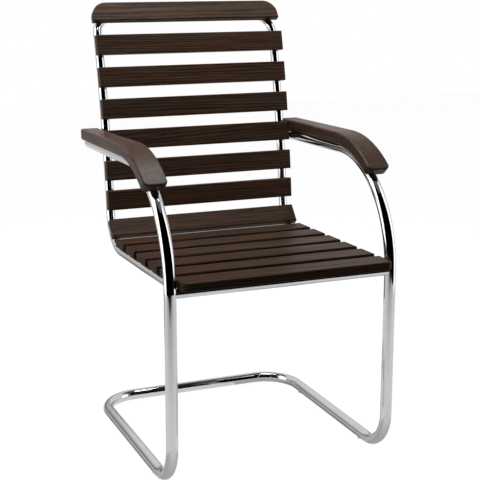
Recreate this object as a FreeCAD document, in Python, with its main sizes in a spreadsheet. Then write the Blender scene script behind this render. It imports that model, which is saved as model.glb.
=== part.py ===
import FreeCAD, Part
import math
import os

import Sketcher
from FreeCAD import Placement, Rotation, Vector

doc = FreeCAD.newDocument("visitor_chair")

# Driving sizes, in millimetres and degrees
SIZES = [
    ("frame_tube_dia", 25.0, "outside diameter of the main frame tube"),
    ("frame_tube_wall", 2.0, "wall of the main frame tube"),
    ("frame_width", 487.0, "left to right between the main tube's centre lines"),
    ("base_depth", 533.0, "post centre line to rear floor bar centre line"),
    ("floor_bend_radius", 85.0, "bend from post to floor runner, and at the rear floor corners"),
    ("arm_height", 644.5, "floor to the arm tube's centre line, where the front bend starts"),
    ("arm_slope_angle", 1.2, "fall of the arm tube towards the back"),
    ("arm_bend_radius", 226.0, "bend from post to arm tube"),
    ("arm_tube_run", 327.0, "start of the front bend to the arm tube's open end"),
    ("back_tube_dia", 20.0, "outside diameter of the seat and back tube"),
    ("back_tube_wall", 1.5, "wall of the seat and back tube"),
    ("arm_gap", 3.0, "clear gap between arm tube and upright, where they are bolted together"),
    ("seat_rail_height", 417.5, "floor to the seat rail's centre line, at the posts"),
    ("seat_slope_angle", 1.24, "fall of the seat towards the back"),
    ("seat_rail_length", 405.0, "front cross tube's centre line to the start of the seat bend"),
    ("seat_bend_radius", 82.0, "bend from seat rail to back upright"),
    ("lower_lean_angle", 4.9, "lean of the upright just above the seat bend"),
    ("upper_lean_angle", 13.95, "lean of the upright just below the neck bend"),
    ("back_arc_radius", 2450.0, "gentle curve of the upright"),
    ("neck_radius", 75.0, "bend that lays the head of the back frame further back"),
    ("top_corner_radius", 42.0, "bend from upright to top bar"),
    ("slat_overhang", 2.0, "slat ends past the outer sides of the seat and back tube"),
    ("slat_thickness", 18.0, "thickness of every slat"),
    ("slat_round", 2.5, "rounding along the slat edges"),
    ("back_slat_width", 45.0, "width of a back slat"),
    ("upper_slat_inset", 7.0, "centre of the second slat below the upper end of the back curve"),
    ("lower_slat_inset", 29.5, "centre of the seventh slat above the lower end of the back curve"),
    ("back_slat_grading", 1.4, "growth of the back slat spacing from one gap to the next, going up"),
    ("bend_slat_angle", 41.0, "lean of the lowest back slat, in the seat bend"),
    ("top_slat_angle", 29.5, "lean of the top slat and of the head of the back frame"),
    ("top_slat_rise", 2.0, "centre of the top slat above the middle of the top bar"),
    ("top_slat_corner", 35.0, "rounding of the top slat's upper corners"),
    ("seat_slat_width", 57.0, "width of a seat slat"),
    ("front_slat_width", 63.0, "width of the front seat slat"),
    ("front_slat_lead", 9.0, "centre of the front seat slat ahead of the cross tube"),
    ("front_slat_corner", 16.0, "rounding of the front seat slat's corners"),
    ("rear_slat_overlap", 8.0, "rear edge of the last seat slat past the start of the seat bend"),
    ("arm_width", 41.5, "width of an armrest beside the back"),
    ("arm_clearance", 1.5, "gap between the slat ends and the armrests"),
    ("arm_flare", 10.0, "how much wider an armrest is at the front, all on its inner edge"),
    ("arm_flare_radius", 1960.0, "the two curves of the inner edge that widen the armrest"),
    ("arm_thickness", 25.8, "thickness of an armrest"),
    ("arm_groove", 1.0, "depth the arm tube is let into the armrest"),
    ("arm_run", 299.0, "start of the front bend to the rear end of the armrest"),
    ("arm_sweep_angle", 40.7, "angle the armrest follows the front bend"),
    ("arm_nose_angle", 11.0, "how far the armrest's front end leans back under its upper edge"),
    ("arm_round", 4.0, "rounding along the armrest's upper edges"),
    ("arm_under_round", 6.0, "rounding along the armrest's lower edges"),
    ("arm_corner", 12.0, "rounding of the armrest's end corners"),
    ("screw_dia", 4.2, "shank of the wood screws"),
    ("screw_depth", 10.0, "length of the wood screws inside the wood"),
    ("bolt_dia", 6.0, "shank of the bolts joining arm tube and upright"),
    ("spacer_dia", 14.0, "outside of the spacers between arm tube and upright"),
    ("glide_dia", 14.0, "head of the floor glides"),
    ("glide_height", 1.5, "thickness of the floor glides under the tube"),
    ("fit_clearance", 0.2, "play left between pieces that touch"),
]
sheet = doc.addObject("Spreadsheet::Sheet", "Sizes")
for row, (alias, number, meaning) in enumerate(SIZES, start=1):
    sheet.set(f"A{row}", meaning)
    sheet.set(f"B{row}", str(number))
    sheet.setAlias(f"B{row}", alias)
doc.recompute()


def size(alias):
    return float(getattr(sheet, alias))


def heading(degrees):
    """Unit vector in the side view: 0 points to the back, 90 points up."""
    return Vector(0, math.cos(math.radians(degrees)), math.sin(math.radians(degrees)))


# Widths that follow from the main frame's width
BACK_WIDTH = "(Sizes.frame_width - Sizes.frame_tube_dia - Sizes.back_tube_dia - 2 * Sizes.arm_gap)"
SLAT_LENGTH = f"({BACK_WIDTH} + Sizes.back_tube_dia + 2 * Sizes.slat_overhang)"
back_width = size("frame_width") - size("frame_tube_dia") - size("back_tube_dia") - 2 * size("arm_gap")
slat_length = back_width + size("back_tube_dia") + 2 * size("slat_overhang")

# Places along the chair, measured from the posts' centre line at floor level
frame_side = size("frame_width") / 2
back_side = back_width / 2
frame_radius = size("frame_tube_dia") / 2
back_radius = size("back_tube_dia") / 2
play = size("fit_clearance")
floor_tube_height = size("glide_height") + frame_radius
rail_heading = -size("seat_slope_angle")
rail_start = Vector(0, 0, size("seat_rail_height"))
bend_start = rail_start + heading(rail_heading) * size("seat_rail_length")
bend_centre = bend_start + heading(rail_heading + 90) * size("seat_bend_radius")
back_start = bend_centre + heading(-size("lower_lean_angle")) * size("seat_bend_radius")
back_centre = back_start + heading(-size("lower_lean_angle")) * size("back_arc_radius")
back_length = size("back_arc_radius") * math.radians(size("upper_lean_angle") - size("lower_lean_angle"))


def back_point(lean):
    """Point on the upright's centre line where it leans back by this angle."""
    return back_centre - heading(-lean) * size("back_arc_radius")


NECK_RUN = 2.0
top_lean = size("top_slat_angle")
neck_centre = back_point(size("upper_lean_angle")) + heading(-size("upper_lean_angle")) * size("neck_radius")
back_end = neck_centre - heading(-top_lean) * size("neck_radius")
top_bar = back_end + heading(90 - top_lean) * (NECK_RUN + size("top_corner_radius"))

# The arm tube falls to the back from the start of its front bend, and crosses the upright on the way
arm_heading = -size("arm_slope_angle")
arm_up = heading(90 - size("arm_slope_angle"))
arm_start = Vector(0, size("arm_bend_radius") * (1 + arm_up.y), size("arm_height"))
arm_centre = arm_start - arm_up * size("arm_bend_radius")


def arm_point(distance):
    """Point on the arm tube's centre line, so far behind the front bend."""
    return arm_start + heading(arm_heading) * distance


arm_joint = arm_start
for _ in range(8):
    arm_lean = math.degrees(math.asin((arm_joint.z - back_centre.z) / size("back_arc_radius")))
    arm_joint = arm_point((back_point(arm_lean).y - arm_start.y) / math.cos(math.radians(arm_heading)))

# Fixed details too small to drive the design
HEAD_HEIGHT = 2.6
INSERT_WALL = 1.5
INSERT_LENGTH = 12.0
PLUG_STEM = 14.0
PLUG_DOME = 5.0
GLIDE_STEM = 8.0
BACK_SLATS = 6
SEAT_SLATS = 5
top_screw_side = 0.33 * slat_length
arm_screw_places = [0.1 * size("arm_run"), 0.65 * size("arm_run")]
glide_inset = size("floor_bend_radius") + 25
glide_places = {"front": glide_inset, "rear": size("base_depth") - glide_inset}

# The whole chair is moved so that the origin lies under the middle of its depth
front_end = -size("front_slat_lead") - size("front_slat_width") / 2
rear_end = top_bar.y + back_radius
to_origin = Vector(0, -(front_end + rear_end) / 2, 0)


def new_body(label):
    body = doc.addObject("PartDesign::Body", label)
    body.Label = label
    body.Placement = Placement(to_origin, Rotation())
    return body


def new_sketch(body, name, role, offset=None):
    sketch = body.newObject("Sketcher::SketchObject", name)
    plane = next(f for f in body.Origin.OriginFeatures if f.Role == role)
    sketch.AttachmentSupport = [(plane, "")]
    sketch.MapMode = "FlatFace"
    if offset is not None:
        sketch.AttachmentOffset = offset
    return sketch


def bind(sketch, constraint, name, expression):
    """Add a constraint whose value follows an expression of the sheet's sizes."""
    sketch.addConstraint(constraint)
    sketch.renameConstraint(sketch.ConstraintCount - 1, name)
    sketch.setExpression(f"Constraints.{name}", expression)


def number(sketch, expression):
    result = sketch.evalExpression(expression)
    return float(getattr(result, "Value", result))


def bent_path(body, name, role, offset, start, angle, steps):
    """Chain of lines and tangent arcs, for a tube's centre line.

    start holds two expressions, angle is the first heading in degrees as an expression,
    a step is ("line", length) or ("arc", radius, turn, side) with side 1 left, -1 right."""
    sketch = new_sketch(body, name, role, offset)
    point = Vector(number(sketch, start[0]), number(sketch, start[1]), 0)
    turned = number(sketch, angle)
    last = None
    for index, step in enumerate(steps):
        along = Vector(math.cos(math.radians(turned)), math.sin(math.radians(turned)), 0)
        if step[0] == "line":
            target = point + along * number(sketch, step[1])
            sketch.addGeometry(Part.LineSegment(point, target))
            first, final = 1, 2
        else:
            radius, turn, side = number(sketch, step[1]), number(sketch, step[2]), step[3]
            centre = point + Vector(-along.y, along.x, 0) * radius * side
            begin = turned - 90 * side
            finish = begin + turn * side
            low, high = sorted((math.radians(begin), math.radians(finish)))
            outward = Vector(math.cos(math.radians(finish)), math.sin(math.radians(finish)), 0)
            target = centre + outward * radius
            circle = Part.Circle(centre, Vector(0, 0, 1), radius)
            sketch.addGeometry(Part.ArcOfCircle(circle, low, high))
            first, final = (1, 2) if side > 0 else (2, 1)
            turned += turn * side
        if last is None:
            bind(sketch, Sketcher.Constraint("DistanceX", index, 1, point.x), "start_across", start[0])
            bind(sketch, Sketcher.Constraint("DistanceY", index, 1, point.y), "start_up", start[1])
            bind(sketch, Sketcher.Constraint("Angle", index, math.radians(turned)), "heading",
                 f"({angle}) * 1deg")
        else:
            sketch.addConstraint(Sketcher.Constraint("Tangent", index - 1, last, index, first))
        if step[0] == "line":
            bind(sketch, Sketcher.Constraint("Distance", index, number(sketch, step[1])), f"run{index}",
                 step[1])
        else:
            bind(sketch, Sketcher.Constraint("Radius", index, radius), f"bend{index}", step[1])
            bind(sketch, Sketcher.Constraint("Angle", index, math.radians(turn)), f"turn{index}",
                 f"({step[2]}) * 1deg")
        point, last = target, final
    return sketch


def circle_sketch(body, name, role, offset, circles):
    """Circles given as (across, up, diameter expression) in the sketch's own plane."""
    sketch = new_sketch(body, name, role, offset)
    for index, (across, up, diameter) in enumerate(circles):
        radius = number(sketch, diameter) / 2
        sketch.addGeometry(Part.Circle(Vector(across, up, 0), Vector(0, 0, 1), radius))
        bind(sketch, Sketcher.Constraint("Diameter", index, 2 * radius), f"dia{index}", diameter)
        sketch.addConstraint(Sketcher.Constraint("DistanceX", index, 3, across))
        sketch.addConstraint(Sketcher.Constraint("DistanceY", index, 3, up))
    return sketch


def tube(body, name, role, offset, kind, path):
    """Hollow tube swept along a path whose start lies at the profile's middle."""
    outside = f"Sizes.{kind}_tube_dia"
    rings = [(0, 0, outside), (0, 0, f"{outside} - 2 * Sizes.{kind}_tube_wall")]
    pipe = body.newObject("PartDesign::AdditivePipe", name)
    pipe.Profile = circle_sketch(body, name + "_section", role, offset, rings)
    pipe.Spine = (path, [f"Edge{n + 1}" for n in range(path.GeometryCount)])
    return pipe


def mirrored(body, name, originals):
    feature = body.newObject("PartDesign::Mirrored", name)
    feature.Originals = originals
    plane = next(f for f in body.Origin.OriginFeatures if f.Role == "YZ_Plane")
    feature.MirrorPlane = (plane, [""])
    body.Tip = feature
    return feature


def drill(body, name, role, offset, circles, length, way="both"):
    """Straight holes cut from their sketch: equally both ways, or only up or down its normal."""
    pocket = body.newObject("PartDesign::Pocket", name)
    pocket.Profile = circle_sketch(body, name + "_holes", role, offset, circles)
    if way == "both":
        pocket.SideType = "Symmetric"
    pocket.Reversed = way == "up"
    pocket.setExpression("Length", length)
    body.Tip = pocket
    return pocket


def fixing(body, name, role, offset, places, reach):
    """Screw holes in the wall under the wood, with access holes for the heads in the far wall."""
    drill(body, name, role, offset, [(x, y, HOLE) for x, y in places], reach, "up")
    drill(body, name + "_access", role, offset, [(x, y, ACCESS) for x, y in places], reach, "down")


def across(side, distance, point):
    """The same point of the side view, moved out to the left or right."""
    return Vector(side * distance, point.y, point.z)


def square_to(lean):
    """Turn that lays a slat, drawn flat, onto a tube that leans back by this angle."""
    return Rotation(Vector(1, 0, 0), 90 - lean)


def behind_bend(run, lift):
    """Expressions for a point so far behind the front bend and so far above the arm tube's centre line."""
    return (f"Sizes.arm_bend_radius * (1 + sin(Sizes.arm_slope_angle)) + ({run}) * cos(Sizes.arm_slope_angle)"
            f" + ({lift}) * sin(Sizes.arm_slope_angle)",
            f"Sizes.arm_height - ({run}) * sin(Sizes.arm_slope_angle)"
            f" + ({lift}) * cos(Sizes.arm_slope_angle)")


def across_arm(side, run, lift):
    """Sketch plane square to the arm tube, so far behind the front bend."""
    point = arm_point(run) + arm_up * lift
    return Placement(Vector(side, point.z, -point.y), Rotation(Vector(1, 0, 0), arm_heading))


HOLE = "Sizes.screw_dia + 3 * Sizes.fit_clearance"
ACCESS = "2 * Sizes.screw_dia + 5 * Sizes.fit_clearance"
LEFT_RIGHT = (-1, 1)
MIDDLE_OF_ARM = "(Sizes.frame_tube_dia / 2 - Sizes.arm_groove + Sizes.arm_thickness / 2)"
CORNER_LEAD = 20.0

# Main frame: floor bar and corners, one side from runner to arm, then the other side
main_frame = new_body("main_frame")
rear_path = bent_path(
    main_frame, "rear_path", "XY_Plane", Placement(Vector(0, 0, floor_tube_height), Rotation()),
    ("-Sizes.frame_width / 2", f"Sizes.base_depth - Sizes.floor_bend_radius - {CORNER_LEAD}"), "90",
    [("line", f"{CORNER_LEAD}"), ("arc", "Sizes.floor_bend_radius", "90", -1),
     ("line", "Sizes.frame_width - 2 * Sizes.floor_bend_radius"),
     ("arc", "Sizes.floor_bend_radius", "90", -1), ("line", f"{CORNER_LEAD}")])
runner_end = size("base_depth") - size("floor_bend_radius") - CORNER_LEAD
rear_tube = tube(main_frame, "rear_tube", "XZ_Plane",
                 Placement(Vector(-frame_side, floor_tube_height, -runner_end), Rotation()),
                 "frame", rear_path)
side_path = bent_path(
    main_frame, "side_path", "YZ_Plane", Placement(Vector(0, 0, -frame_side), Rotation()),
    behind_bend("Sizes.arm_tube_run", "0"), "180 - Sizes.arm_slope_angle",
    [("line", "Sizes.arm_tube_run"), ("arc", "Sizes.arm_bend_radius", "90 + Sizes.arm_slope_angle", 1),
     ("line", "Sizes.arm_height - Sizes.arm_bend_radius * cos(Sizes.arm_slope_angle)"
              " - Sizes.floor_bend_radius - Sizes.glide_height - Sizes.frame_tube_dia / 2"),
     ("arc", "Sizes.floor_bend_radius", "90", 1),
     ("line", f"Sizes.base_depth - 2 * Sizes.floor_bend_radius - {CORNER_LEAD}")])
side_tube = tube(main_frame, "side_tube", "XZ_Plane", across_arm(-frame_side, size("arm_tube_run"), 0),
                 "frame", side_path)
mirrored(main_frame, "other_side", [side_tube])

# Seat and back frame: top bar and corners, one side from seat rail to upright, then the other side
seat_back_frame = new_body("seat_back_frame")
top_path = bent_path(
    seat_back_frame, "top_path", "XZ_Plane",
    Placement(Vector(0, back_end.z, -back_end.y), Rotation(Vector(1, 0, 0), -top_lean)),
    (f"-{BACK_WIDTH} / 2", "0"), "90",
    [("line", f"{NECK_RUN}"), ("arc", "Sizes.top_corner_radius", "90", -1),
     ("line", f"{BACK_WIDTH} - 2 * Sizes.top_corner_radius"),
     ("arc", "Sizes.top_corner_radius", "90", -1), ("line", f"{NECK_RUN}")])
top_tube = tube(seat_back_frame, "top_tube", "XY_Plane",
                Placement(Vector(-back_side, back_end.y, back_end.z), Rotation(Vector(1, 0, 0), -top_lean)),
                "back", top_path)
rail_path = bent_path(
    seat_back_frame, "rail_path", "YZ_Plane", Placement(Vector(0, 0, -back_side), Rotation()),
    ("0", "Sizes.seat_rail_height"), "-Sizes.seat_slope_angle",
    [("line", "Sizes.seat_rail_length"),
     ("arc", "Sizes.seat_bend_radius", "90 + Sizes.seat_slope_angle - Sizes.lower_lean_angle", 1),
     ("arc", "Sizes.back_arc_radius", "Sizes.upper_lean_angle - Sizes.lower_lean_angle", -1),
     ("arc", "Sizes.neck_radius", "Sizes.top_slat_angle - Sizes.upper_lean_angle", -1)])
rail_tube = tube(seat_back_frame, "rail_tube", "XZ_Plane",
                 Placement(Vector(-back_side, rail_start.z, 0), Rotation(Vector(1, 0, 0), rail_heading)),
                 "back", rail_path)
mirrored(seat_back_frame, "other_rail", [rail_tube])

# The rails end in hollows that fit round the front cross tube
drill(seat_back_frame, "rail_end", "YZ_Plane", None,
      [(0, rail_start.z, "Sizes.back_tube_dia")], f"{BACK_WIDTH} + 2 * Sizes.back_tube_dia")


# Where the slats sit on the uprights
def back_slat_leans():
    """Leans at the centres of the back slats on the upright, from the top down."""
    first = back_length - size("upper_slat_inset")
    last = size("lower_slat_inset")
    pitch = (first - last) / (BACK_SLATS - 1)
    place = first
    leans = []
    for gap in range(BACK_SLATS):
        leans.append(size("lower_lean_angle") + math.degrees(place / size("back_arc_radius")))
        place -= pitch + size("back_slat_grading") * ((BACK_SLATS - 2) / 2 - gap)
    return leans


class Seat:
    """A slat's place: the drilled point on the tube, the lean, and the middle of its rear face."""

    def __init__(self, label, width, drilled, lean, rear_face):
        self.label = label
        self.width = width
        self.drilled = drilled
        self.lean = lean
        self.rear_face = rear_face


on_tube = back_radius + play
seats = []
top_rear = top_bar - heading(-top_lean) * on_tube + heading(90 - top_lean) * size("top_slat_rise")
seats.append(Seat("back_slat_1", "back_slat_width", top_bar, top_lean, top_rear))
for index, lean in enumerate(back_slat_leans(), start=2):
    middle = back_point(lean)
    seats.append(Seat(f"back_slat_{index}", "back_slat_width", middle, lean,
                      middle - heading(-lean) * on_tube))

# The lowest back slat bridges the hollow side of the bend, on its two rounded rear edges
edge = size("slat_round")
hollow = size("seat_bend_radius") - back_radius - edge - play
half = size("back_slat_width") / 2 - edge
bend_lean = size("bend_slat_angle")
across_bend = edge + math.sqrt(hollow ** 2 - half ** 2)
bend_point = bend_centre + heading(-bend_lean) * size("seat_bend_radius")
seats.append(Seat(f"back_slat_{BACK_SLATS + 2}", "back_slat_width", bend_point, bend_lean,
                  bend_centre + heading(-bend_lean) * across_bend))
back_seats = list(seats)

# Seat slats fill the rail evenly between the front slat and the bend, lifted clear of the bend's start
past_bend = max(size("rear_slat_overlap") - edge, 0)
clear_of_bend = size("seat_bend_radius") - edge - math.sqrt(hollow ** 2 - past_bend ** 2)
seat_lift = max(on_tube, clear_of_bend)
flat = 90 + size("seat_slope_angle")
rail_up = heading(90 - size("seat_slope_angle"))
front_rear_edge = size("front_slat_width") / 2 - size("front_slat_lead")
rear_edge = size("seat_rail_length") + size("rear_slat_overlap")
seat_pitch = (rear_edge - front_rear_edge) / SEAT_SLATS
seat_places = [rear_edge - size("seat_slat_width") / 2 - seat_pitch * k for k in range(SEAT_SLATS)]
for index, place in enumerate(seat_places, start=1):
    middle = rail_start + heading(rail_heading) * place
    seats.append(Seat(f"seat_slat_{index}", "seat_slat_width", middle, flat, middle + rail_up * seat_lift))
front_middle = rail_start - heading(rail_heading) * size("front_slat_lead")
front_seat = Seat(f"seat_slat_{SEAT_SLATS + 1}", "front_slat_width", rail_start, flat,
                  front_middle + rail_up * seat_lift)

# Screw holes through the tubes, square to each slat
for seat in back_seats:
    sides = top_screw_side if seat is back_seats[0] else back_side
    fixing(seat_back_frame, f"{seat.label}_fixing", "XZ_Plane",
           Placement(Vector(0, seat.drilled.z, -seat.drilled.y), Rotation(Vector(1, 0, 0), -seat.lean)),
           [(side * sides, 0) for side in LEFT_RIGHT], "Sizes.back_tube_dia")
fixing(seat_back_frame, "seat_fixing", "XY_Plane",
       Placement(rail_start, Rotation(Vector(1, 0, 0), rail_heading)),
       [(side * back_side, place) for side in LEFT_RIGHT for place in seat_places], "Sizes.back_tube_dia")
drill(seat_back_frame, "arm_fixing", "YZ_Plane", None,
      [(arm_joint.y, arm_joint.z, "Sizes.bolt_dia + 2 * Sizes.fit_clearance")],
      f"{BACK_WIDTH} + 2 * Sizes.back_tube_dia")

# Holes of the main frame: armrest screws, threaded inserts in the inner wall only, glide stems
fixing(main_frame, "armrest_fixing", "XY_Plane",
       Placement(arm_start, Rotation(Vector(1, 0, 0), arm_heading)),
       [(side * frame_side, place) for side in LEFT_RIGHT for place in arm_screw_places],
       "Sizes.frame_tube_dia")
drill(main_frame, "insert_seat", "YZ_Plane", None,
      [(arm_joint.y, arm_joint.z, f"Sizes.bolt_dia + {INSERT_WALL * 2} + 2 * Sizes.fit_clearance")],
      "Sizes.frame_width")
drill(main_frame, "glide_seat", "XY_Plane", None,
      [(side * frame_side, place, "Sizes.glide_dia / 2 + 2 * Sizes.fit_clearance")
       for side in LEFT_RIGHT for place in glide_places.values()],
      "2 * Sizes.glide_height + Sizes.frame_tube_dia")

# Front cross tube, hollowed at both ends to fit the posts
front_cross_tube = new_body("front_cross_tube")
ring = circle_sketch(front_cross_tube, "ring", "YZ_Plane", Placement(Vector(0, rail_start.z, 0), Rotation()),
                     [(0, 0, "Sizes.back_tube_dia"),
                      (0, 0, "Sizes.back_tube_dia - 2 * Sizes.back_tube_wall")])
cross_bar = front_cross_tube.newObject("PartDesign::Pad", "cross_bar")
cross_bar.Profile = ring
cross_bar.SideType = "Symmetric"
cross_bar.setExpression("Length", "Sizes.frame_width")
drill(front_cross_tube, "post_fit", "XY_Plane", Placement(Vector(0, 0, rail_start.z), Rotation()),
      [(side * frame_side, 0, "Sizes.frame_tube_dia") for side in LEFT_RIGHT], "2 * Sizes.back_tube_dia")
fixing(front_cross_tube, "front_slat_fixing", "XY_Plane",
       Placement(rail_start, Rotation(Vector(1, 0, 0), rail_heading)),
       [(side * top_screw_side, 0) for side in LEFT_RIGHT], "Sizes.back_tube_dia")


def edges_where(shape, test):
    """Names of the edges on which every sampled point passes the test."""
    names = []
    for index, item in enumerate(shape.Edges, start=1):
        low, high = item.ParameterRange
        points = [item.valueAt(low + (high - low) * part / 4) for part in range(5)]
        if all(test(point) for point in points):
            names.append(f"Edge{index}")
    return names


def rounded(body, name, test, radius):
    """Fillet on the chosen edges of the body's last feature."""
    doc.recompute()
    base = body.Tip
    fillet = body.newObject("PartDesign::Fillet", name)
    fillet.Base = (base, edges_where(base.Shape, test))
    fillet.setExpression("Radius", radius)
    body.Tip = fillet
    return fillet


def near(first, second):
    return abs(first - second) < 1e-3


def rectangle(sketch, wide, tall, width, height):
    """Rectangle about the sketch's middle, with its two sizes as expressions."""
    corners = [Vector(-wide, -tall, 0), Vector(wide, -tall, 0), Vector(wide, tall, 0), Vector(-wide, tall, 0)]
    for index in range(4):
        sketch.addGeometry(Part.LineSegment(corners[index], corners[(index + 1) % 4]))
    for index in range(4):
        sketch.addConstraint(Sketcher.Constraint("Coincident", index, 2, (index + 1) % 4, 1))
        sketch.addConstraint(Sketcher.Constraint("Vertical" if index % 2 else "Horizontal", index))
    sketch.addConstraint(Sketcher.Constraint("Symmetric", 0, 1, 2, 1, -1, 1))
    bind(sketch, Sketcher.Constraint("DistanceX", 0, 1, 0, 2, 2 * wide), "width", width)
    bind(sketch, Sketcher.Constraint("DistanceY", 1, 1, 1, 2, 2 * tall), "height", height)


def slat(seat, fixings, corner=None):
    """Board drawn flat with its rear face down, drilled from behind, then laid on its tube."""
    body = new_body(seat.label)
    outline = new_sketch(body, f"{seat.label}_outline", "XY_Plane")
    reach, half_width, thick = slat_length / 2, size(seat.width) / 2, size("slat_thickness")
    rectangle(outline, reach, half_width, SLAT_LENGTH, f"Sizes.{seat.width}")
    board = body.newObject("PartDesign::Pad", f"{seat.label}_board")
    board.Profile = outline
    board.setExpression("Length", "Sizes.slat_thickness")
    body.Tip = board
    if corner:
        alias, edge_side = corner
        rounded(body, f"{seat.label}_corner",
                lambda p: near(abs(p.x), reach) and near(p.y, edge_side * half_width), f"Sizes.{alias}")
    rounded(body, f"{seat.label}_edges", lambda p: near(p.z, 0) or near(p.z, thick), "Sizes.slat_round")
    drill(body, f"{seat.label}_pilots", "XY_Plane", None,
          [(x, y, "Sizes.screw_dia + Sizes.fit_clearance") for x, y in fixings],
          "Sizes.screw_depth + 1", "up")
    body.Placement = Placement(to_origin + seat.rear_face, square_to(seat.lean))
    return body


pieces = [main_frame, seat_back_frame, front_cross_tube]
side_fixings = [(side * back_side, 0) for side in LEFT_RIGHT]
for seat in seats[1:]:
    pieces.append(slat(seat, side_fixings))
pieces.append(slat(seats[0], [(side * top_screw_side, -size("top_slat_rise")) for side in LEFT_RIGHT],
                   ("top_slat_corner", 1)))
pieces.append(slat(front_seat, [(side * top_screw_side, size("front_slat_lead")) for side in LEFT_RIGHT],
                   ("front_slat_corner", -1)))


# Armrests: a flat wooden bar that follows the arm tube round the front bend
arm_low = frame_radius - size("arm_groove")
arm_top = arm_low + size("arm_thickness")
arm_inner = slat_length / 2 + size("arm_clearance")
arm_outer = arm_inner + size("arm_width")
FLARE_ROOM = 40.0
FLARE_LEAD = 5.0
NOSE_LEAD = 8.0
FLARE_TURN = "acos(1 - Sizes.arm_flare / (2 * Sizes.arm_flare_radius))"
flare_start = arm_joint.y - back_radius - size("slat_thickness") - FLARE_LEAD


def above_tube(point):
    """Height above the arm tube's centre line, on the straight run or round the bend."""
    flat_height = (point - arm_start).dot(arm_up)
    if (point - arm_start).dot(heading(arm_heading)) > 0:
        return flat_height
    return math.hypot(point.y - arm_centre.y, point.z - arm_centre.z) - size("arm_bend_radius")


def flare_outline(body, label, side):
    """Closed outline of what is cut from the bar's inner side: two curves in front of the slats step it in."""
    begin = f"({behind_bend('Sizes.arm_run', '0')[0]} + {CORNER_LEAD})"
    sketch = bent_path(
        body, f"{label}_flare_outline", "XY_Plane", Placement(Vector(0, 0, size("arm_height")), Rotation()),
        (f"{side} * ({SLAT_LENGTH} / 2 + Sizes.arm_clearance)", begin), "-90",
        [("line", f"{begin} - {flare_start}"),
         ("arc", "Sizes.arm_flare_radius", f"{FLARE_TURN} / 1deg", -side),
         ("arc", "Sizes.arm_flare_radius", f"{FLARE_TURN} / 1deg", side),
         ("line", f"{flare_start} - 2 * Sizes.arm_flare_radius * sin({FLARE_TURN}) + Sizes.frame_tube_dia")])
    back, front = sketch.Geometry[0].StartPoint, sketch.Geometry[3].EndPoint
    corners = [Vector(x, y, 0) for x, y in ((front.x, front.y), (0, front.y), (0, back.y), (back.x, back.y))]
    for index in range(3):
        sketch.addGeometry(Part.LineSegment(corners[index], corners[index + 1]))
    for joint in ((3, 2, 4, 1), (4, 2, 5, 1), (5, 2, 6, 1), (6, 2, 0, 1)):
        sketch.addConstraint(Sketcher.Constraint("Coincident", *joint))
    sketch.addConstraint(Sketcher.Constraint("Horizontal", 4))
    sketch.addConstraint(Sketcher.Constraint("Horizontal", 6))
    sketch.addConstraint(Sketcher.Constraint("PointOnObject", 5, 1, -2))
    sketch.addConstraint(Sketcher.Constraint("PointOnObject", 5, 2, -2))
    return sketch


def nose_outline(body, label, middle):
    """Closed outline of what is cut from the bar's front: its rear side is the leaning front end."""
    reach = f"(Sizes.arm_bend_radius + {MIDDLE_OF_ARM} + Sizes.arm_thickness / 2 + {NOSE_LEAD})"
    turn = "(Sizes.arm_sweep_angle - Sizes.arm_slope_angle)"
    sketch = bent_path(
        body, f"{label}_nose_outline", "YZ_Plane", Placement(Vector(0, 0, middle), Rotation()),
        (f"Sizes.arm_bend_radius - {reach} * sin({turn})",
         f"Sizes.arm_height - Sizes.arm_bend_radius * cos(Sizes.arm_slope_angle) + {reach} * cos({turn})"),
        f"270 + {turn} + Sizes.arm_nose_angle", [("line", f"Sizes.arm_thickness + 3 * {NOSE_LEAD}")])
    upper, lower = sketch.Geometry[0].StartPoint, sketch.Geometry[0].EndPoint
    ahead = Vector(lower.y - upper.y, upper.x - lower.x, 0)
    corners = [lower, lower + ahead, upper + ahead, upper]
    for index in range(3):
        sketch.addGeometry(Part.LineSegment(corners[index], corners[index + 1]))
    for index in range(4):
        sketch.addConstraint(Sketcher.Constraint("Coincident", index, 2, (index + 1) % 4, 1))
    sketch.addConstraint(Sketcher.Constraint("Perpendicular", 0, 1))
    sketch.addConstraint(Sketcher.Constraint("Perpendicular", 0, 3))
    sketch.addConstraint(Sketcher.Constraint("Parallel", 0, 2))
    sketch.addConstraint(Sketcher.Constraint("Equal", 0, 1))
    return sketch


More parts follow.
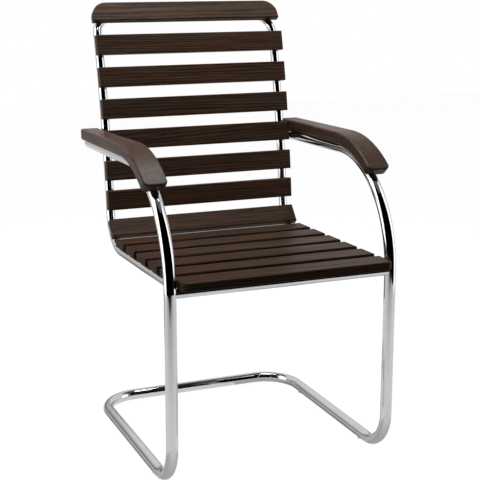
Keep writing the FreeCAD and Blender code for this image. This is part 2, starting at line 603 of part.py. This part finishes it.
def armrest(label, side):
    body = new_body(label)
    wide, thick = (size("arm_width") + FLARE_ROOM) / 2, size("arm_thickness") / 2
    middle = side * (arm_outer - wide)
    path = bent_path(
        body, f"{label}_path", "YZ_Plane", Placement(Vector(0, 0, middle), Rotation()),
        behind_bend("Sizes.arm_run", MIDDLE_OF_ARM), "180 - Sizes.arm_slope_angle",
        [("line", "Sizes.arm_run"),
         ("arc", f"Sizes.arm_bend_radius + {MIDDLE_OF_ARM}", "Sizes.arm_sweep_angle", 1)])
    section = new_sketch(body, f"{label}_section", "XZ_Plane",
                         across_arm(middle, size("arm_run"), (arm_low + arm_top) / 2))
    rectangle(section, wide, thick, f"Sizes.arm_width + {FLARE_ROOM}", "Sizes.arm_thickness")
    bar = body.newObject("PartDesign::AdditivePipe", f"{label}_bar")
    bar.Profile = section
    bar.Spine = (path, ["Edge1", "Edge2"])
    body.Tip = bar
    flare = body.newObject("PartDesign::Pocket", f"{label}_flare")
    flare.Profile = flare_outline(body, label, side)
    flare.SideType = "Symmetric"
    flare.setExpression("Length", "2 * Sizes.arm_bend_radius")
    body.Tip = flare
    nose = body.newObject("PartDesign::Pocket", f"{label}_nose")
    nose.Profile = nose_outline(body, label, middle)
    nose.SideType = "Symmetric"
    nose.setExpression("Length", f"2 * (Sizes.arm_width + {FLARE_ROOM})")
    body.Tip = nose
    swept = 90 - size("arm_slope_angle") + size("arm_sweep_angle")
    front = arm_centre + heading(swept) * (size("arm_bend_radius") + arm_top + NOSE_LEAD)
    tip = heading(swept + 90 + size("arm_nose_angle"))
    rear = arm_point(size("arm_run"))

    def at_front(point):
        return abs((point - front).dot(tip)) < 1e-2

    def at_rear(point):
        return abs((point - rear).dot(heading(arm_heading))) < 1e-2

    def at_side(point):
        return any(near(abs(point.x), edge) for edge in (arm_inner, arm_inner - size("arm_flare"), arm_outer))

    def on_top(point):
        return abs(above_tube(point) - arm_top) < 1e-2

    def underneath(point):
        return abs(above_tube(point) - arm_low) < 1e-2

    rounded(body, f"{label}_front_corners", lambda p: at_front(p) and at_side(p), "Sizes.arm_corner")
    rounded(body, f"{label}_rear_corners", lambda p: at_rear(p) and at_side(p), "Sizes.arm_corner / 2")
    rounded(body, f"{label}_top_edges", on_top, "Sizes.arm_round")
    rounded(body, f"{label}_under_edges", underneath, "Sizes.arm_under_round")
    groove_path = bent_path(
        body, f"{label}_groove_path", "YZ_Plane", Placement(Vector(0, 0, side * frame_side), Rotation()),
        behind_bend(f"Sizes.arm_run + {CORNER_LEAD}", "0"), "180 - Sizes.arm_slope_angle",
        [("line", f"Sizes.arm_run + {CORNER_LEAD}"),
         ("arc", "Sizes.arm_bend_radius", "Sizes.arm_sweep_angle + 8", 1)])
    groove = body.newObject("PartDesign::SubtractivePipe", f"{label}_groove")
    groove.Profile = circle_sketch(
        body, f"{label}_groove_section", "XZ_Plane",
        across_arm(side * frame_side, size("arm_run") + CORNER_LEAD, 0),
        [(0, 0, "Sizes.frame_tube_dia + 2 * Sizes.fit_clearance")])
    groove.Spine = (groove_path, ["Edge1", "Edge2"])
    body.Tip = groove
    drill(body, f"{label}_pilots", "XY_Plane", Placement(arm_start, Rotation(Vector(1, 0, 0), arm_heading)),
          [(side * frame_side, place, "Sizes.screw_dia + Sizes.fit_clearance") for place in arm_screw_places],
          "Sizes.frame_tube_dia / 2 + Sizes.screw_depth + 1", "up")
    return body


def turned(label, outline, place, rims=None):
    """Turned piece: outline as (along, out) expressions, spun about its own axis, which is drawn along X."""
    body = new_body(label)
    sketch = new_sketch(body, f"{label}_outline", "XY_Plane")
    points = [Vector(number(sketch, along), number(sketch, out), 0) for along, out in outline]
    count = len(points)
    for index in range(count):
        sketch.addGeometry(Part.LineSegment(points[index], points[(index + 1) % count]))
    for index, (along, out) in enumerate(outline):
        sketch.addConstraint(Sketcher.Constraint("Coincident", (index - 1) % count, 2, index, 1))
        bind(sketch, Sketcher.Constraint("DistanceX", index, 1, points[index].x), f"along{index}", along)
        bind(sketch, Sketcher.Constraint("DistanceY", index, 1, points[index].y), f"out{index}", out)
    spin = body.newObject("PartDesign::Revolution", f"{label}_spin")
    spin.Profile = sketch
    spin.ReferenceAxis = (sketch, ["H_Axis"])
    spin.Angle = 360
    body.Tip = spin
    if rims:
        along, radius = rims
        rounded(body, f"{label}_rim", lambda p: near(p.x, number(sketch, along)), radius)
    body.Placement = place
    return body


# Domed plugs in the rear ends of the arm tubes
def arm_plug(label, side):
    stem = "Sizes.frame_tube_dia / 2 - Sizes.frame_tube_wall - Sizes.fit_clearance"
    outline = [(f"-{PLUG_STEM}", "0"), (f"{PLUG_DOME}", "0"), (f"{PLUG_DOME}", "Sizes.frame_tube_dia / 2"),
               ("0", "Sizes.frame_tube_dia / 2"), ("0", stem), (f"-{PLUG_STEM}", stem)]
    end = across(side, frame_side, arm_point(size("arm_tube_run")))
    lie = Rotation(Vector(1, 0, 0), arm_heading).multiply(Rotation(Vector(0, 0, 1), 90))
    return turned(label, outline, Placement(to_origin + end, lie), (f"{PLUG_DOME}", f"{PLUG_DOME - 0.5}"))


# Low glides pushed into the runners from below
def glide(label, side, place):
    head, stem = "Sizes.glide_dia / 2", "Sizes.glide_dia / 4"
    outline = [("0", "0"), ("0", head), ("Sizes.glide_height", head), ("Sizes.glide_height", stem),
               (f"Sizes.glide_height + {GLIDE_STEM}", stem), (f"Sizes.glide_height + {GLIDE_STEM}", "0")]
    return turned(label, outline, Placement(to_origin + Vector(side * frame_side, place, 0),
                                            Rotation(Vector(0, 1, 0), -90)), ("0", "Sizes.glide_height / 2"))


# Spacers between upright and arm tube, hollowed to fit both
def arm_spacer(label, side):
    body = new_body(label)
    middle = Vector(arm_joint.y, arm_joint.z, side * (frame_side + back_side) / 2)
    ring = circle_sketch(body, f"{label}_ring", "YZ_Plane", Placement(middle, Rotation()),
                         [(0, 0, "Sizes.spacer_dia"), (0, 0, "Sizes.bolt_dia + 2 * Sizes.fit_clearance")])
    sleeve = body.newObject("PartDesign::Pad", f"{label}_sleeve")
    sleeve.Profile = ring
    sleeve.SideType = "Symmetric"
    sleeve.setExpression("Length", f"(Sizes.frame_width - {BACK_WIDTH}) / 2")
    body.Tip = sleeve
    drill(body, f"{label}_arm_fit", "XZ_Plane",
          Placement(Vector(0, arm_joint.z, -arm_joint.y), Rotation(Vector(1, 0, 0), arm_heading)),
          [(side * frame_side, 0, "Sizes.frame_tube_dia + Sizes.fit_clearance")], "3 * Sizes.spacer_dia")
    drill(body, f"{label}_back_fit", "XY_Plane", Placement(arm_joint, Rotation(Vector(1, 0, 0), -arm_lean)),
          [(side * back_side, 0, "Sizes.back_tube_dia + Sizes.fit_clearance")], "3 * Sizes.spacer_dia")
    return body


for word, side in zip(("left", "right"), LEFT_RIGHT):
    pieces.append(armrest(f"armrest_{word}", side))
    pieces.append(arm_plug(f"arm_plug_{word}", side))
    pieces.append(arm_spacer(f"arm_spacer_{word}", side))
    for end, place in glide_places.items():
        pieces.append(glide(f"floor_glide_{end}_{word}", side, place))


# Fasteners: one shape each, repeated at every place as a group of separate solids
def wood_screw(through):
    """Pan head screw on the Z axis, head below zero, passing so much before it enters the wood."""
    shank = size("screw_dia") / 2
    length = through + size("screw_depth")
    head = Part.makeCylinder(2 * shank, HEAD_HEIGHT, Vector(0, 0, -HEAD_HEIGHT))
    rim = [e for e in head.Edges if near(e.CenterOfMass.z, -HEAD_HEIGHT) and len(e.Vertexes) == 1]
    head = head.makeFillet(HEAD_HEIGHT / 2, rim)
    stem = Part.makeCylinder(shank, length - 2 * shank)
    point = Part.makeCone(shank, shank / 4, 2 * shank, Vector(0, 0, length - 2 * shank))
    slot = shank / 3
    drive = [Part.makeBox(wide, deep, HEAD_HEIGHT / 2, Vector(-wide / 2, -deep / 2, -HEAD_HEIGHT))
             for wide, deep in ((2 * shank, slot), (slot, 2 * shank))]
    return head.fuse([stem, point]).removeSplitter().cut(drive)


def head_seat(outside, wall):
    """Height above the tube's centre line at which a screw head rests in the hollow of the wall."""
    return math.sqrt((outside - wall) ** 2 - size("screw_dia") ** 2) - 2.5 * play


def arm_bolt():
    """Button head bolt on the Z axis with a hexagon socket, head below zero."""
    radius = size("bolt_dia") / 2
    reach = frame_side - back_side + back_radius
    head = Part.makeCylinder(1.75 * radius, radius, Vector(0, 0, -radius))
    rim = [e for e in head.Edges if near(e.CenterOfMass.z, -radius) and len(e.Vertexes) == 1]
    head = head.makeFillet(radius * 0.6, rim)
    stem = Part.makeCylinder(radius, reach)
    ring = [Vector(math.cos(k * math.pi / 3), math.sin(k * math.pi / 3), 0) * radius * 0.75 for k in range(7)]
    socket = Part.Face(Part.makePolygon(ring)).extrude(Vector(0, 0, radius * 0.7))
    socket.translate(Vector(0, 0, -radius))
    return head.fuse(stem).removeSplitter().cut(socket)


def arm_insert():
    """Threaded sleeve on the Z axis, set just under the tube's skin."""
    radius = size("bolt_dia") / 2
    sleeve = Part.makeCylinder(radius + INSERT_WALL, INSERT_LENGTH)
    return sleeve.cut(Part.makeCylinder(radius + play, INSERT_LENGTH))


def group(label, shape, places):
    """Copies of one fastener; a place is where its zero lies and where its Z axis points."""
    solids = []
    for base, direction in places:
        copy = shape.copy()
        copy.Placement = Placement(base, Rotation(Vector(0, 0, 1), direction))
        solids.append(copy)
    item = doc.addObject("Part::Feature", label)
    item.Label = label
    item.Shape = Part.makeCompound(solids)
    item.Placement = Placement(to_origin, Rotation())
    return item


back_head = head_seat(back_radius, size("back_tube_wall"))
arm_head = head_seat(frame_radius, size("frame_tube_wall"))
back_places = []
for seat in back_seats:
    sides = top_screw_side if seat is back_seats[0] else back_side
    toward = heading(-seat.lean) * -1
    back_places += [(across(side, sides, seat.drilled + toward * back_head), toward) for side in LEFT_RIGHT]
seat_fixing_places = [(across(side, back_side, seat.drilled + rail_up * back_head), rail_up)
                      for seat in seats[len(back_seats):] for side in LEFT_RIGHT]
seat_fixing_places += [(across(side, top_screw_side, rail_start + rail_up * back_head), rail_up)
                       for side in LEFT_RIGHT]
arm_places = [(across(side, frame_side, arm_point(place) + arm_up * arm_head), arm_up)
              for side in LEFT_RIGHT for place in arm_screw_places]
joint_places = [(across(side, back_side - back_radius - play, arm_joint), Vector(side, 0, 0))
                for side in LEFT_RIGHT]
insert_places = [(across(side, frame_side - frame_radius + 1, arm_joint), Vector(side, 0, 0))
                 for side in LEFT_RIGHT]
pieces.append(group("back_slat_screws", wood_screw(back_radius - back_head), back_places))
pieces.append(group("seat_slat_screws", wood_screw(back_radius - back_head), seat_fixing_places))
pieces.append(group("armrest_screws", wood_screw(frame_radius - arm_head), arm_places))
pieces.append(group("arm_bolts", arm_bolt(), joint_places))
pieces.append(group("arm_inserts", arm_insert(), insert_places))

# Check every object, then write one file for each piece
doc.recompute()
for item in doc.Objects:
    if any(word in item.State for word in ("Invalid", "Error")):
        raise RuntimeError(f"{item.Label} did not build: {item.State}")
os.makedirs("parts", exist_ok=True)
for piece in pieces:
    if piece.Shape.isNull() or not piece.Shape.isValid():
        raise RuntimeError(f"{piece.Label} has no sound shape")
    piece.Shape.exportStep(os.path.join("parts", f"{piece.Label}.step"))
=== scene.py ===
import bmesh
import bpy
import math
import random
from mathutils import Euler, Matrix, Vector

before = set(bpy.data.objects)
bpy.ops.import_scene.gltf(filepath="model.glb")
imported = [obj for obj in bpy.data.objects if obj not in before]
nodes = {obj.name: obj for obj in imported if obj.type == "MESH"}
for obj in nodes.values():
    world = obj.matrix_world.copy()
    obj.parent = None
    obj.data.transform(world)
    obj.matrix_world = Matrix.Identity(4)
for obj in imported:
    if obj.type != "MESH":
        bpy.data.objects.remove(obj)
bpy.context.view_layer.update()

WHITE, BLACK = (1, 1, 1, 1), (0, 0, 0, 1)


# Node helpers for the finishes
class Finish:
    """A material whose nodes are made and joined by short calls."""

    def __init__(self, name):
        self.material = bpy.data.materials.new(name)
        self.material.use_nodes = True
        self.tree = self.material.node_tree
        self.shader = self.tree.nodes["Principled BSDF"]

    def node(self, kind, **settings):
        made = self.tree.nodes.new(kind)
        for key, value in settings.items():
            setattr(made, key, value)
        return made

    def join(self, source, target):
        self.tree.links.new(source, target)

    def feed(self, socket, source):
        self.join(source, self.shader.inputs[socket])

    def set(self, socket, value):
        self.shader.inputs[socket].default_value = value

    def place(self, scale=(1, 1, 1), shift=(0, 0, 0), turn=(0, 0, 0), vector=None):
        mapping = self.node("ShaderNodeMapping")
        mapping.inputs["Scale"].default_value = scale
        mapping.inputs["Location"].default_value = shift
        mapping.inputs["Rotation"].default_value = turn
        if vector is None:
            vector = self.node("ShaderNodeTexCoord").outputs["Object"]
        self.join(vector, mapping.inputs["Vector"])
        return mapping.outputs["Vector"]

    def noise(self, vector, scale, detail, roughness=0.55, distortion=0.0):
        made = self.node("ShaderNodeTexNoise")
        made.inputs["Scale"].default_value = scale
        made.inputs["Detail"].default_value = detail
        made.inputs["Roughness"].default_value = roughness
        made.inputs["Distortion"].default_value = distortion
        self.join(vector, made.inputs["Vector"])
        return made.outputs["Fac"]

    def rings(self, vector, axis, scale, distortion, detail, detail_scale, detail_roughness):
        made = self.node("ShaderNodeTexWave", wave_type="RINGS", rings_direction=axis, wave_profile="SIN")
        made.inputs["Scale"].default_value = scale
        made.inputs["Distortion"].default_value = distortion
        made.inputs["Detail"].default_value = detail
        made.inputs["Detail Scale"].default_value = detail_scale
        made.inputs["Detail Roughness"].default_value = detail_roughness
        self.join(vector, made.inputs["Vector"])
        return made.outputs["Fac"]

    def ramp(self, value, stops):
        made = self.node("ShaderNodeValToRGB")
        elements = made.color_ramp.elements
        while len(elements) < len(stops):
            elements.new(0.5)
        for element, (place, colour) in zip(elements, stops):
            element.position = place
            element.color = (*colour, 1)
        self.join(value, made.inputs["Fac"])
        return made.outputs["Color"]

    def mix(self, share, first, second, blend="MIX"):
        made = self.node("ShaderNodeMix", data_type="RGBA", blend_type=blend)
        if isinstance(share, float):
            made.inputs["Factor"].default_value = share
        else:
            self.join(share, made.inputs["Factor"])
        self.join(first, made.inputs["A"])
        self.join(second, made.inputs["B"])
        return made.outputs["Result"]

    def blend(self, share, first, second):
        made = self.node("ShaderNodeMix", data_type="FLOAT")
        made.inputs["Factor"].default_value = share
        self.join(first, made.inputs["A"])
        self.join(second, made.inputs["B"])
        return made.outputs["Result"]

    def spread(self, value, low, high, start=0.0, end=1.0):
        made = self.node("ShaderNodeMapRange")
        made.inputs["From Min"].default_value = start
        made.inputs["From Max"].default_value = end
        made.inputs["To Min"].default_value = low
        made.inputs["To Max"].default_value = high
        self.join(value, made.inputs["Value"])
        return made.outputs["Result"]

    def times(self, first, second):
        made = self.node("ShaderNodeMath", operation="MULTIPLY")
        self.join(first, made.inputs[0])
        self.join(second, made.inputs[1])
        return made.outputs["Value"]

    def edges(self, reach):
        """One along outer edges, nothing on flat faces."""
        inside = self.node("ShaderNodeAmbientOcclusion", inside=True, only_local=True, samples=8)
        inside.inputs["Distance"].default_value = reach
        return self.spread(inside.outputs["AO"], low=0.0, high=1.0, start=0.97, end=0.6)

    def bump(self, height, distance, strength):
        made = self.node("ShaderNodeBump")
        made.inputs["Distance"].default_value = distance
        made.inputs["Strength"].default_value = strength
        self.join(height, made.inputs["Height"])
        self.feed("Normal", made.outputs["Normal"])


def grey(value):
    return (value, value, value)


def toned(colour, tone):
    return tuple(part * level for part, level in zip(colour, tone))


# Ramps of the dark stained boards, as (place on the ramp, colour)
STAIN_STOPS = [(0.28, (0.0155, 0.0078, 0.0046)), (0.48, (0.0400, 0.0219, 0.0136)),
               (0.72, (0.0680, 0.0400, 0.0265))]
DRIFT_STOPS = [(0.34, (1.14, 0.96, 0.87)), (0.66, (0.89, 1.0, 1.03))]
PORE_STOPS = [(0.34, grey(0.5)), (0.47, grey(1.0))]
RUBBED_STOPS = [(0.3, (0.045, 0.026, 0.017)), (0.7, (0.09, 0.057, 0.041))]

# What differs from board to board
PITH_NEAR, PITH_FAR = 0.03, 0.075
SAW_ANGLE = 1.4
TONE_LOW, TONE_HIGH = 0.9, 1.12
GRAIN_SHIFT = 5

# How the layers of a board weigh, and how far its worn edges reach
STREAK_SHARE = 0.76
PORE_SHARE = 0.75
WORN_REACH = 0.004


# Growth rings round a pith of their own, streaks, red and olive drift, pores, worn edges, and a tint of painted
# light
def stained_board(name, middle, along, sheen, painted_light_tint, draws):
    finish = Finish(name)
    axis = "XYZ".index(along)
    pith = Vector([draws.uniform(PITH_NEAR, PITH_FAR) * draws.choice((-1, 1)) for _ in range(3)])
    pith[axis] = 0.0
    turn = Euler([0.0 if n == axis else math.radians(draws.uniform(-SAW_ANGLE, SAW_ANGLE)) for n in range(3)])
    # Painted light: the tint lightens back boards, darkens the seat and warms the arms against their sheen
    tone = toned(painted_light_tint, [draws.uniform(TONE_LOW, TONE_HIGH)] * 3)
    shift = Vector([draws.uniform(-GRAIN_SHIFT, GRAIN_SHIFT) for _ in range(3)])

    def stretched(along_scale, across_scale):
        return [along_scale if n == axis else across_scale for n in range(3)]

    sawn = finish.place(shift=-(turn.to_matrix() @ (middle + pith)), turn=turn)
    rings = finish.rings(finish.place(stretched(0.14, 1), vector=sawn), along, scale=62.0, distortion=4.2,
                         detail=3.0, detail_scale=1.1, detail_roughness=0.6)
    streaks = finish.noise(finish.place(stretched(1.5, 40), shift), scale=3.0, detail=6.0, roughness=0.66,
                           distortion=0.7)
    pores = finish.noise(finish.place(stretched(6, 330), shift), scale=2.0, detail=2.0, roughness=0.6)
    drift = finish.noise(finish.place(stretched(2.2, 11), shift), scale=1.6, detail=3.0)
    grain = finish.blend(STREAK_SHARE, rings, streaks)
    base = finish.ramp(grain, [(place, toned(colour, tone)) for place, colour in STAIN_STOPS])
    hue = finish.ramp(drift, DRIFT_STOPS)
    stain = finish.mix(1.0, base, hue, "MULTIPLY")
    stain = finish.mix(PORE_SHARE, stain, finish.ramp(pores, PORE_STOPS), "MULTIPLY")
    rubbed = finish.ramp(streaks, RUBBED_STOPS)
    worn = finish.spread(drift, low=0.05, high=0.55, start=0.3, end=0.7)
    wear = finish.times(finish.edges(WORN_REACH), worn)
    finish.feed("Base Color", finish.mix(wear, stain, rubbed))
    lacquer = finish.blend(0.5, streaks, pores)
    finish.feed("Roughness", finish.spread(lacquer, low=0.50, high=0.32, start=0.3, end=0.7))
    finish.set("Specular IOR Level", sheen)
    finish.bump(finish.blend(0.3, pores, rings), distance=0.0003, strength=0.22)
    return finish.material


# Mirror finish with faint smudges
def polished_chrome(name):
    finish = Finish(name)
    smudge = finish.noise(finish.place(), scale=14.0, detail=3.0)
    tint = finish.ramp(smudge, [(0.3, (0.575, 0.58, 0.585)), (0.7, (0.615, 0.62, 0.625))])
    finish.feed("Base Color", tint)
    finish.set("Metallic", 1.0)
    finish.feed("Roughness", finish.spread(smudge, low=0.03, high=0.06, start=0.3, end=0.7))
    return finish.material


# Moulded plastic, or plated steel where metal is one
def speckled(name, low, high, rough, metal=0.0):
    finish = Finish(name)
    speck = finish.noise(finish.place(), scale=180.0, detail=2.0)
    finish.feed("Base Color", finish.ramp(speck, [(0.35, low), (0.65, high)]))
    finish.set("Metallic", metal)
    finish.feed("Roughness", finish.spread(speck, low=rough, high=rough + 0.12))
    finish.bump(speck, distance=0.0002, strength=0.2)
    return finish.material


chrome = polished_chrome("tube_chrome")
plug_grey = speckled("plug_grey", (0.42, 0.43, 0.44), (0.5, 0.51, 0.52), rough=0.35)
glide_pale = speckled("glide_pale", (0.62, 0.62, 0.6), (0.7, 0.7, 0.68), rough=0.4)
zinc = speckled("zinc_steel", (0.46, 0.46, 0.47), (0.56, 0.56, 0.57), rough=0.28, metal=1.0)

# Finishes by a word of the piece's name
FINISHES = {"frame": chrome, "tube": chrome, "spacer": chrome, "plug": plug_grey, "glide": glide_pale,
            "screws": zinc, "bolts": zinc, "inserts": zinc}

# Boards by a word of the name: the way the grain runs, the gloss of the lacquer, and a tint of painted light
# The tint is painted light and shade for how light and sheen fall on each kind of board
BOARDS = {"armrest": ("Y", 0.14, (1.09, 0.95, 0.86)), "seat": ("X", 0.03, (0.99, 0.93, 0.87)),
          "back": ("X", 0.06, (1.05, 1.06, 1.07))}
board_draws = random.Random(11)
for name in sorted(nodes):
    piece = nodes[name]
    words = name.split("_")
    finish = next((FINISHES[word] for word in words if word in FINISHES), None)
    if finish is None:
        corners = [Vector(corner) for corner in piece.bound_box]
        middle = sum(corners, Vector()) / len(corners)
        board = next(BOARDS[word] for word in words if word in BOARDS)
        finish = stained_board(f"wood_{name}", middle, *board, board_draws)
    piece.data.materials.clear()
    piece.data.materials.append(finish)

# Camera at the photograph's place
AZIMUTH, ELEVATION = math.radians(-22.439), math.radians(13.221)
DISTANCE = 2.627516
AIM = Vector((0.018608, 0.003980, 0.442171))
LENS, SENSOR = 88.2506, 36.0
away = Vector((math.sin(AZIMUTH) * math.cos(ELEVATION), -math.cos(AZIMUTH) * math.cos(ELEVATION),
               math.sin(ELEVATION)))
camera = bpy.data.objects.new("camera", bpy.data.cameras.new("camera"))
camera.data.lens = LENS
camera.data.sensor_width = SENSOR
camera.location = AIM + away * DISTANCE
camera.rotation_mode = "QUATERNION"
camera.rotation_quaternion = (-away).to_track_quat("-Z", "Y")
bpy.context.scene.collection.objects.link(camera)
bpy.context.scene.camera = camera


# Studio: lit white floor, white backdrop, soft light overhead, and cards for the reflections
FLOOR_SIZE, BACKDROP_RADIUS = 6.0, 8.0
FLOOR_GREY, FLOOR_GLOW = 0.12, 0.96
CARD_STEPS = 24
CARD_PEAK = 2.0


def stage_mesh(name, mesh, material):
    data = bpy.data.meshes.new(name)
    mesh.to_mesh(data)
    mesh.free()
    data.materials.append(material)
    made = bpy.data.objects.new(name, data)
    bpy.context.scene.collection.objects.link(made)
    return made


def lay_floor():
    finish = Finish("floor_white")
    finish.set("Base Color", (*grey(FLOOR_GREY), 1))
    finish.set("Specular IOR Level", 0.0)
    finish.set("Roughness", 0.9)
    finish.set("Emission Color", WHITE)
    finish.set("Emission Strength", FLOOR_GLOW)
    mesh = bmesh.new()
    bmesh.ops.create_grid(mesh, x_segments=1, y_segments=1, size=FLOOR_SIZE)
    floor = stage_mesh("floor", mesh, finish.material)
    floor.visible_diffuse = False


def hang_backdrop():
    finish = Finish("backdrop_white")
    finish.set("Base Color", BLACK)
    finish.set("Specular IOR Level", 0.0)
    finish.set("Emission Color", WHITE)
    finish.set("Emission Strength", 1.0)
    mesh = bmesh.new()
    bmesh.ops.create_icosphere(mesh, subdivisions=3, radius=BACKDROP_RADIUS)
    backdrop = stage_mesh("backdrop", mesh, finish.material)
    backdrop.visible_diffuse = False
    backdrop.visible_glossy = False
    backdrop.visible_transmission = False
    backdrop.visible_shadow = False


def card_glow(name, axis, stops, turn=0.0):
    """Black finish that glows by stops of (place along an axis in metres, brightness)."""
    finish = Finish(name)
    finish.set("Base Color", BLACK)
    finish.set("Specular IOR Level", 0.0)
    split = finish.node("ShaderNodeSeparateXYZ")
    finish.join(finish.place(turn=(0, 0, turn)), split.inputs["Vector"])
    first, last = stops[0][0], stops[-1][0]
    along = finish.spread(split.outputs[axis], low=0.0, high=1.0, start=first, end=last)
    levels = [((place - first) / (last - first), grey(value / CARD_PEAK)) for place, value in stops]
    finish.feed("Emission Color", finish.ramp(along, levels))
    finish.set("Emission Strength", CARD_PEAK)
    return finish.material


def hide_card(card, lights=False):
    """Keep a card out of the picture; only reflections see it, and the boards where it lights them."""
    card.visible_camera = False
    card.visible_diffuse = lights
    card.visible_shadow = False
    card.visible_transmission = False


def lay_card(name, left, right, front, rear, height, stops, turn=0.0):
    mesh = bmesh.new()
    bmesh.ops.create_grid(mesh, x_segments=1, y_segments=1, size=0.5)
    bmesh.ops.scale(mesh, verts=mesh.verts, vec=(right - left, rear - front, 1))
    bmesh.ops.translate(mesh, verts=mesh.verts, vec=((left + right) / 2, (front + rear) / 2, height))
    hide_card(stage_mesh(name, mesh, card_glow(name, "Y", stops, turn)))


def hang_card(name, start, end, radius, bottom, top, stops, lights=False):
    """Card curved round the chair between two bearings in degrees, nought in front and growing to the right."""
    mesh = bmesh.new()
    spine = [mesh.verts.new((0, -radius, height)) for height in (bottom, top)]
    line = mesh.edges.new(spine)
    bmesh.ops.rotate(mesh, verts=spine, cent=(0, 0, 0), matrix=Matrix.Rotation(math.radians(start), 3, "Z"))
    bmesh.ops.spin(mesh, geom=[*spine, line], cent=(0, 0, 0), axis=(0, 0, 1),
                   angle=math.radians(end - start), steps=CARD_STEPS)
    hide_card(stage_mesh(name, mesh, card_glow(name, "Z", stops)), lights)


def hang_light(name, place, aim, width, depth, power):
    data = bpy.data.lights.new(name, "AREA")
    data.shape = "RECTANGLE"
    data.size = width
    data.size_y = depth
    data.energy = power
    light = bpy.data.objects.new(name, data)
    light.location = place
    light.rotation_mode = "QUATERNION"
    light.rotation_quaternion = (Vector(aim) - Vector(place)).to_track_quat("-Z", "Y")
    bpy.context.scene.collection.objects.link(light)


lay_floor()
hang_backdrop()

# Cards on the floor: the floor itself, darker towards the camera, then shade beside and under each runner
# and before each front foot
PALE = 0.92
RUNNER_SIDE = 0.2435
lay_card("pale_card_floor", left=-5.0, right=5.0, front=-5.0, rear=5.0, height=0.0004,
         stops=[(-1.8, 0.0), (-1.67, 0.1), (-1.56, 0.4), (-1.45, 0.58), (-1.25, 0.68), (-0.85, 0.83),
                (-0.54, PALE), (2.0, PALE)], turn=-AZIMUTH)
for side, near in (("left", -RUNNER_SIDE), ("right", RUNNER_SIDE)):
    lay_card(f"shade_card_{side}", left=near - 0.136, right=near + 0.004, front=-0.26, rear=0.36,
             height=0.0006, stops=[(-0.26, PALE), (-0.16, 0.6), (0.3, 0.56), (0.36, PALE)])
    lay_card(f"contact_card_{side}", left=near - 0.03, right=near + 0.006, front=-0.19, rear=0.25,
             height=0.0008, stops=[(-0.19, 0.6), (-0.14, 0.3), (0.2, 0.3), (0.25, 0.6)])
    lay_card(f"foot_card_{side}", left=near - 0.18, right=near + 0.18, front=-0.66, rear=-0.2,
             height=0.0007, stops=[(-0.66, 0.91), (-0.48, 0.87), (-0.38, 0.81), (-0.32, 0.72),
                                   (-0.26, 0.58), (-0.2, 0.5)])

# Cards that hang round the chair, from the front by the sides to the back
hang_card("dark_card_front", start=-80, end=48, radius=1.8, bottom=0.0, top=4.0,
          stops=[(0.0, 0.0), (4.0, 0.0)])
hang_card("bright_card_left", start=-122, end=-80, radius=1.7, bottom=0.0, top=3.0,
          stops=[(0.0, 2.2), (0.2, 2.4)], lights=True)
hang_card("bright_card_right", start=48, end=82, radius=1.7, bottom=0.0, top=3.0,
          stops=[(0.0, 1.6), (0.2, 1.9)])
hang_card("pale_card_right", start=82, end=112, radius=1.9, bottom=0.0, top=3.0,
          stops=[(0.0, 0.8), (0.2, 0.9)], lights=True)
hang_card("pale_card_back_right", start=112, end=172, radius=2.4, bottom=0.35, top=3.0,
          stops=[(0.35, 0.8), (0.6, PALE)])
hang_card("pale_card_back_left", start=172, end=238, radius=2.4, bottom=0.0, top=3.0,
          stops=[(0.0, PALE), (0.1, 0.9), (0.25, 0.66), (0.85, 0.66), (1.15, PALE), (3.0, PALE)])
hang_card("shade_card_back_left", start=172, end=238, radius=0.9, bottom=0.0, top=0.46,
          stops=[(0.0, 0.25), (0.16, 0.3), (0.46, 0.85)])
hang_light("overhead_light", place=(0.05, 0.06, 2.0), aim=(0.0, 0.06, 0.0), width=0.9, depth=0.9, power=27.0)

SURROUND_GLOW = 0.17
world = bpy.data.worlds.new("studio")
world.use_nodes = True
surround = world.node_tree.nodes["Background"]
surround.inputs["Color"].default_value = WHITE
surround.inputs["Strength"].default_value = SURROUND_GLOW
bpy.context.scene.world = world
bpy.context.scene.view_settings.view_transform = "Standard"
